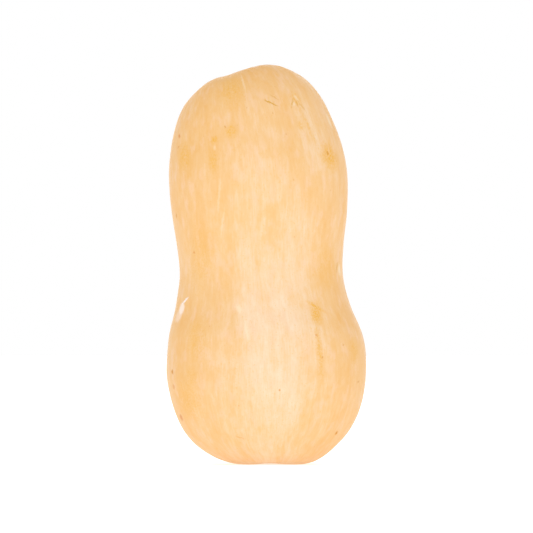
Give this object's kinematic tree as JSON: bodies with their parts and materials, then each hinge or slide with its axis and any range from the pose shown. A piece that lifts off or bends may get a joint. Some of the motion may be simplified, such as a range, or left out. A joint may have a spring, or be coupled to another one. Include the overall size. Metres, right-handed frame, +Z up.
{
  "type": "butternut squash",
  "caption": "Whole butternut squash standing on its blossom end: round bulb, soft waist and thick neck whose stem end leans left and back, with a short woody stem stub. Fresh produce prop.",
  "frame": {"origin": "centre of the bounding box's base, on the surface that the fruit stands on", "axes": "+Z up, from the blossom end that it stands on to the stem end; +X to the right and -Y towards the front, the side that is shown; the stem end leans towards -X and +Y"},
  "size_m": [0.1046, 0.1048, 0.2098],
  "materials": {
    "skin": "satin",
    "stem": "matte"
  },
  "bodies": {
    "root": {"squash_fruit": "skin", "stem_stub": "stem"}
  },
  "joints": []
}
